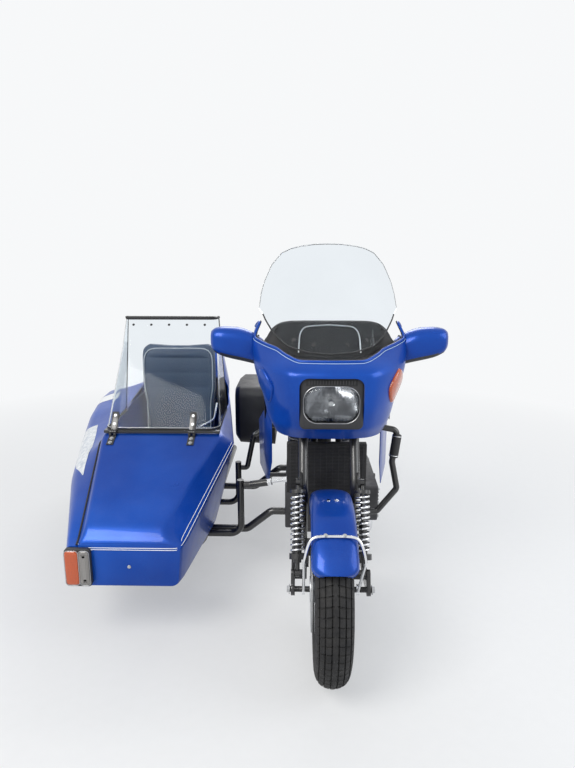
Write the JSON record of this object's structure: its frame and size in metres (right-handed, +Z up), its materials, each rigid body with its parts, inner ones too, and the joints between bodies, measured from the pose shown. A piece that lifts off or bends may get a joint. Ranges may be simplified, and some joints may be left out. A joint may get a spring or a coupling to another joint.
{
  "type": "touring motorcycle with a one-seat sidecar",
  "caption": "Blue touring motorcycle with a faired front, leading-link fork and a boat-shaped sidecar on its right under a hinged windscreen",
  "frame": {"origin": "below the middle of the outfit, on the ground", "axes": "+Z up, the front faces -Y, +X is the bike's left side; the sidecar is on the -X side"},
  "size_m": [1.769, 2.305, 1.5209],
  "materials": {
    "tyre": "matt",
    "wheel": "satin",
    "steel": "ground",
    "black_metal": "gloss",
    "chrome": "polished",
    "blue_paint": "gloss",
    "cast_metal": "satin",
    "seat_cover": "grained",
    "black_plastic": "grained",
    "red_lens": "gloss",
    "lamp_glass": "fluted",
    "clear_screen": "clear",
    "amber_lens": "gloss",
    "sidecar_trim": "grained"
  },
  "bodies": {
    "chassis": {"crash_bar": "black_metal", "dash": "black_plastic", "engine": "cast_metal", "exhaust": "chrome", "fairing": "blue_paint", "fairing_lowers": "blue_paint", "footrests": "black_metal", "frame": "black_metal", "fuel_tank": "blue_paint", "headlamp": "lamp_glass", "headlamp_bezel": "black_plastic", "mirrors": "blue_paint", "pannier": "black_plastic", "pontoon": "blue_paint", "rack": "black_metal", "radiator": "black_metal", "rear_lamp": "red_lens", "rear_mudguard": "black_plastic", "rear_shock": "black_metal", "screen_hinges": "black_metal", "seat": "seat_cover", "side_indicators": "amber_lens", "side_panels": "blue_paint", "sidecar_arm": "black_metal", "sidecar_body": "blue_paint", "sidecar_frame": "black_metal", "sidecar_lamp": "amber_lens", "sidecar_seat": "sidecar_trim", "sidecar_struts": "black_metal", "swing_arm": "black_metal", "tail": "blue_paint", "windscreen": "clear_screen"},
    "steering": {"fork": "black_metal", "link_arms": "black_metal", "fork_shocks": "black_metal", "fork_springs": "chrome", "front_mudguard": "blue_paint", "mudguard_stay": "chrome", "handlebar": "black_metal", "calipers": "black_metal"},
    "front_wheel": {"front_tyre": "tyre", "front_rim": "wheel", "front_discs": "steel"},
    "rear_wheel": {"rear_tyre": "tyre", "rear_rim": "wheel"},
    "sidecar_wheel": {"sidecar_tyre": "tyre", "sidecar_rim": "wheel"},
    "sidecar_windscreen": {"sidecar_screen": "clear_screen", "sidecar_screen_frame": "black_metal"}
  },
  "joints": [
    {"name": "steering", "type": "hinge", "parent": "chassis", "child": "steering", "pos_m": [0.4225, -0.44912, 0.88], "axis": [0, 0.454, 0.891], "range_deg": [-30, 30]},
    {"name": "front_wheel_spin", "type": "hinge", "parent": "steering", "child": "front_wheel", "pos_m": [0.4225, -0.8375, 0.315], "axis": [1, 0, 0], "continuous": true},
    {"name": "rear_wheel_spin", "type": "hinge", "parent": "chassis", "child": "rear_wheel", "pos_m": [0.4225, 0.6785, 0.318], "axis": [1, 0, 0], "continuous": true},
    {"name": "sidecar_wheel_spin", "type": "hinge", "parent": "chassis", "child": "sidecar_wheel", "pos_m": [-0.7675, 0.5125, 0.3], "axis": [1, 0, 0], "continuous": true},
    {"name": "sidecar_screen_hinge", "type": "hinge", "parent": "chassis", "child": "sidecar_windscreen", "pos_m": [-0.3115, -0.2545, 0.712], "axis": [1, 0, 0], "range_deg": [0, 100]}
  ]
}
